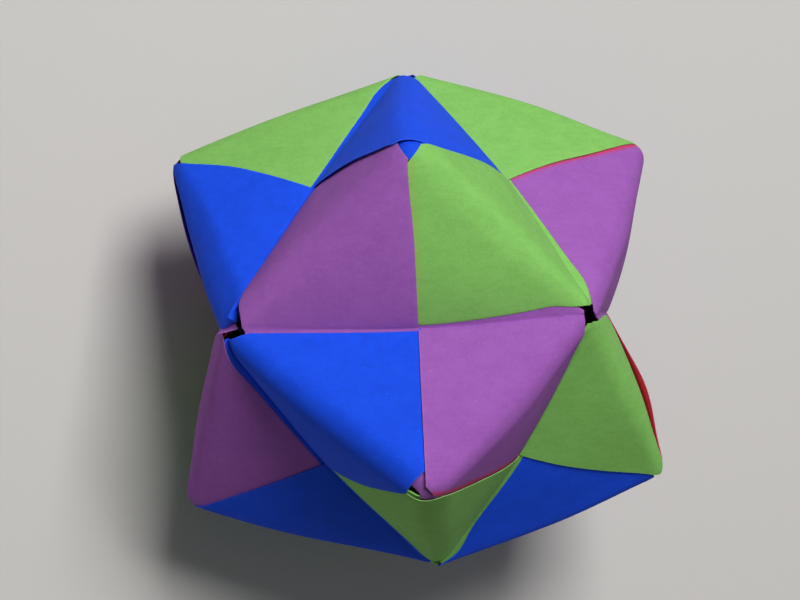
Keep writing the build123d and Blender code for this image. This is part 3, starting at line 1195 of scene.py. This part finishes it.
@dataclass(frozen=True)
class PaperFinish:
    """Matte coloured-through paper: a cloudy mottle, fine fibres, specks and paler edges.

    The scales are waves to the metre. The mottle and the height each add up the three noises
    by their shares, in the order cloud, grain and fibre. The paler edges are partly wear and
    partly a painted highlight, and a slit's tint is painted bounce light. The bump distance is
    in metres, and the glow is the strength of a painted glow, an emission that stands for the
    light that comes through the paper in a narrow slit.
    """

    colour: Colour
    cloud_scale: float = 330.0
    grain_scale: float = 2600.0
    fibre_scale: float = 1300.0
    fibre_stretch: Triple = (0.5, 1.0, 0.7)
    mottle_shares: Triple = (1.2, 1.3, 1.2)
    mottle_full: float = 0.9
    speck_scale: float = 2300.0
    speck_start: float = 0.80
    speck_full: float = 0.84
    speck_strength: float = 0.2
    edge_strength: float = 0.5
    edge_fibres: float = 0.6
    height_shares: Triple = (0.8, 0.5, 0.7)
    roughness: float = 0.82
    roughness_grain: float = 0.15
    specular: float = 0.15
    bump_strength: float = 0.2
    bump_distance: float = 0.00005
    glow: float = 0.3

    def material(self) -> bpy.types.Material:
        """Builds the material.

        Returns:
            The material, named for its slot.
        """
        tone = TONES[self.colour]
        deep, body, pale_wear_and_highlight, slit = ((*shade, 1.0) for shade in (tone.deep, tone.body, tone.pale_wear_and_highlight, tone.slit))
        tree = ShaderTree(self.colour.value)
        where = tree.node("ShaderNodeTexCoord", {}, {}, "Object")
        cloud = tree.noise(where, self.cloud_scale, 2.0, 0.55)
        grain = tree.noise(where, self.grain_scale, 2.0, 0.6)
        stretch = tree.node("ShaderNodeMapping", {}, {"Vector": where, "Scale": self.fibre_stretch})
        fibre = tree.noise(stretch, self.fibre_scale, 3.0, 0.6)
        speck = tree.noise(where, self.speck_scale, 0.0).above(self.speck_start, self.speck_full)

        in_cloud, in_grain, in_fibre = self.mottle_shares
        mottle = (cloud - 0.5) * in_cloud + (grain - 0.5) * in_grain + (fibre - 0.5) * in_fibre + 0.5
        edge_wear_and_highlight = self.edge_strength + (fibre - 0.5) * self.edge_fibres
        base = tree.mix(mottle.above(0.0, self.mottle_full), deep, body)
        base = tree.mix(speck * self.speck_strength, base, pale_wear_and_highlight)
        # Paler edges: partly wear of the fibres, partly a painted highlight where the thin rims catch the
        # light
        base = tree.mix(tree.attribute("edge") * edge_wear_and_highlight, base, pale_wear_and_highlight)
        # Painted bounce light: a neighbour's light tints the paper in a narrow slit
        base = tree.mix(tree.attribute("slit"), base, slit)
        # The painted glow: the lining emits a little of its slit colour, though it is no lamp
        black, lit = (0.0, 0.0, 0.0, 1.0), (*(self.glow * part for part in tone.slit), 1.0)
        high_cloud, high_grain, high_fibre = self.height_shares
        bump_inputs = {
            "Strength": self.bump_strength,
            "Distance": self.bump_distance,
            "Height": grain * high_grain + fibre * high_fibre + cloud * high_cloud,
        }
        shader_inputs = {
            "Base Color": base,
            "Emission Color": tree.mix(tree.attribute("lit"), black, lit),
            "Emission Strength": 1.0,
            "Roughness": self.roughness + (grain - 0.5) * self.roughness_grain,
            "Specular IOR Level": self.specular,
            "Normal": tree.node("ShaderNodeBump", {}, bump_inputs, "Normal"),
        }
        return tree.finish(tree.node("ShaderNodeBsdfPrincipled", {}, shader_inputs, "BSDF"))


@dataclass(frozen=True)
class Lamp:
    """A square lamp that looks at the ball.

    Toward is its direction from the ball, along the image's right, the image's up and back to
    the camera. Its size and its distance from the ball are in metres.
    """

    name: str
    toward: Triple
    watts: float
    size: float
    distance: float = 0.9


@dataclass(frozen=True)
class Studio:
    """The camera, the lights and the floor.

    The ball's centre lies to the right of the camera's line of sight and below it by the two
    centre lengths, and ahead of the camera by the distance, all in millimetres. The two
    directions are given in the ball's frame. The clip distances and the floor's half width
    are in metres.
    """

    focal_pixels: float = 3000.0
    centre_right: float = 2.68
    centre_down: float = 3.10
    distance: float = 446.1
    looking: Triple = (-0.6921, -0.7218, -0.0006)
    image_right: Triple = (-0.7211, 0.6914, -0.0443)
    sensor_width: float = 36.0
    clip_start: float = 0.01
    clip_end: float = 20.0
    lamps: tuple[Lamp, ...] = (
        Lamp("key", (0.32, 0.48, 0.85), 7.4, 0.35),
        Lamp("fill", (0.25, -0.1, 1.0), 0.5, 0.8),
    )
    sky_strength: float = 0.055
    floor_half: float = 1.5
    floor_colour: Triple = (0.66, 0.64, 0.61)
    floor_roughness: float = 0.9

    def ball_axes(self) -> tuple[np.ndarray, np.ndarray, np.ndarray]:
        """Makes the camera's two directions square to each other.

        Returns:
            The image's right, the image's down and the way the camera looks, in the ball's
            frame.
        """
        ahead = np.array(self.looking) / np.linalg.norm(self.looking)
        right = np.array(self.image_right)
        right -= ahead * (right @ ahead)
        right /= np.linalg.norm(right)
        return right, np.cross(ahead, right), ahead

    def camera_axes(self, row: RowFrame) -> tuple[np.ndarray, np.ndarray, np.ndarray]:
        """The same three directions in the row's frame."""
        right, _, ahead = (row.direction(axis) for axis in self.ball_axes())
        return right, np.cross(ahead, right), ahead

    def camera(self, row: RowFrame) -> None:
        """Places the camera where the photograph was taken from.

        Args:
            row: the row's frame.
        """
        right, down, ahead = self.camera_axes(row)
        offset = right * self.centre_right + down * self.centre_down + ahead * self.distance
        data = bpy.data.cameras.new("camera")
        data.sensor_fit = "HORIZONTAL"
        data.sensor_width = self.sensor_width
        data.lens = self.focal_pixels * self.sensor_width / PHOTO_WIDTH
        data.clip_start = self.clip_start
        data.clip_end = self.clip_end
        camera = put_in_scene("camera", data)
        turn = Matrix((right, -down, -ahead)).transposed().to_4x4()
        camera.matrix_world = Matrix.Translation(Vector(row.centre - offset * MM)) @ turn
        bpy.context.scene.camera = camera

    def light(self, row: RowFrame) -> None:
        """Lights the ball from the right and above, with a soft fill and a dim even sky.

        Args:
            row: the row's frame.
        """
        right, down, ahead = self.camera_axes(row)
        for lamp in self.lamps:
            direction = right * lamp.toward[0] - down * lamp.toward[1] - ahead * lamp.toward[2]
            direction /= np.linalg.norm(direction)
            data = bpy.data.lights.new(lamp.name, "AREA")
            data.energy = lamp.watts
            data.size = lamp.size
            light = put_in_scene(lamp.name, data)
            light.location = Vector(row.centre + direction * lamp.distance)
            light.rotation_euler = Vector(direction).to_track_quat("Z", "Y").to_euler()
        world = bpy.data.worlds.new("studio")
        world.use_nodes = True
        background = world.node_tree.nodes["Background"]
        background.inputs["Color"].default_value = (1.0, 1.0, 1.0, 1.0)
        background.inputs["Strength"].default_value = self.sky_strength
        bpy.context.scene.world = world

    def floor(self) -> None:
        """Lays a pale floor under the ball."""
        half = self.floor_half
        mesh = bpy.data.meshes.new("floor")
        corners = [(-half, -half, 0), (half, -half, 0), (half, half, 0), (-half, half, 0)]
        mesh.from_pydata(corners, [], [(0, 1, 2, 3)])
        floor = put_in_scene("floor", mesh)
        tree = ShaderTree("pale_floor")
        inputs = {"Base Color": (*self.floor_colour, 1.0), "Roughness": self.floor_roughness}
        shader = tree.node("ShaderNodeBsdfPrincipled", {}, inputs, "BSDF")
        floor.data.materials.append(tree.finish(shader))


@dataclass
class PaperBall:
    """The ball: twelve units that hold each other by their tabs."""

    CHANCE_SEED = 900

    paper: Paper = field(default_factory=Paper)
    units: list[FoldedUnit] = field(default_factory=list)

    def fold(self) -> None:
        """Makes the twelve units and tells each half which tab it holds."""
        halves: list[FoldedHalf] = []
        for colour, letters in COLOUR_AXES.items():
            for (first_sign, second_sign), name in UNIT_NAMES[colour].items():
                first = AXES[letters[0]] * first_sign
                second = AXES[letters[1]] * second_sign
                third = np.cross(first, second)
                for half, axes in (
                    (Half.FIRST, np.array([first, second, third])),
                    (Half.SECOND, np.array([second, first, -third])),
                ):
                    seed = len(halves)
                    bend = BENDS.get((name, half)) or self._chance_bend(seed)
                    halves.append(FoldedHalf(self.paper, colour, bend, axes, seed))
                self.units.append(FoldedUnit(name, colour, halves[-2], halves[-1]))
        for guest in halves:
            for host in halves:
                same_apex = np.allclose(guest.apex, host.apex)
                if same_apex and np.allclose(guest.axes[2], host.axes[0]):
                    guest.host = host
                    host.guest = guest

    def _chance_bend(self, seed: int) -> Bend:
        """Draws a bend for a half that the photograph doesn't show.

        Args:
            seed: the half's own number.

        Returns:
            The bend.
        """
        dice = np.random.default_rng(seed + self.CHANCE_SEED)
        return Bend(
            radius_apex=dice.uniform(3.0, 4.0),
            radius_middle=dice.uniform(3.6, 4.6),
            radius_corner=dice.uniform(2.0, 2.8),
            streaks=dice.uniform(0.1, 0.4),
            bulge=dice.uniform(0.4, 0.7),
            flap_lift=dice.uniform(0.05, 0.3),
            strip_middle=dice.uniform(0.35, 0.75),
            strip_corner=dice.uniform(0.5, 1.1),
            corner_gap=-1.2,
            inner_gap=0.0,
        )

    def build(self, row: RowFrame, shape: HandShape) -> None:
        """Builds and dresses every unit, in place of its CAD solid.

        Args:
            row: the row's frame.
            shape: how the ball's tips sit.
        """
        finishes = {colour: PaperFinish(colour).material() for colour in Colour}
        for unit in self.units:
            maker = MeshMaker()
            for sheet in unit.sheets():
                maker.add(sheet)
            piece = maker.build(f"{unit.name}_sheet", lambda points: row(shape(points)))
            piece.data.materials.append(finishes[unit.colour])
            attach(piece, "root")
            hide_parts(unit.name)
            triangles = sum(len(face.vertices) - 2 for face in piece.data.polygons)
            log.info("%s: %d triangles, in %s", piece.name, triangles, unit.colour.value)


def main() -> None:
    """Builds the ball and its studio."""
    logging.basicConfig(level=logging.INFO, format="%(name)s: %(message)s")
    bpy.context.scene.view_settings.view_transform = "Standard"
    low, high = (np.array(corner) for corner in CAD_BOX)
    row = RowFrame(low, high)
    studio = Studio()
    ball = PaperBall()
    ball.fold()
    ball.build(row, HandShape(ball.paper, studio.ball_axes()))
    studio.camera(row)
    studio.light(row)
    studio.floor()


if __name__ == "__main__":
    main()
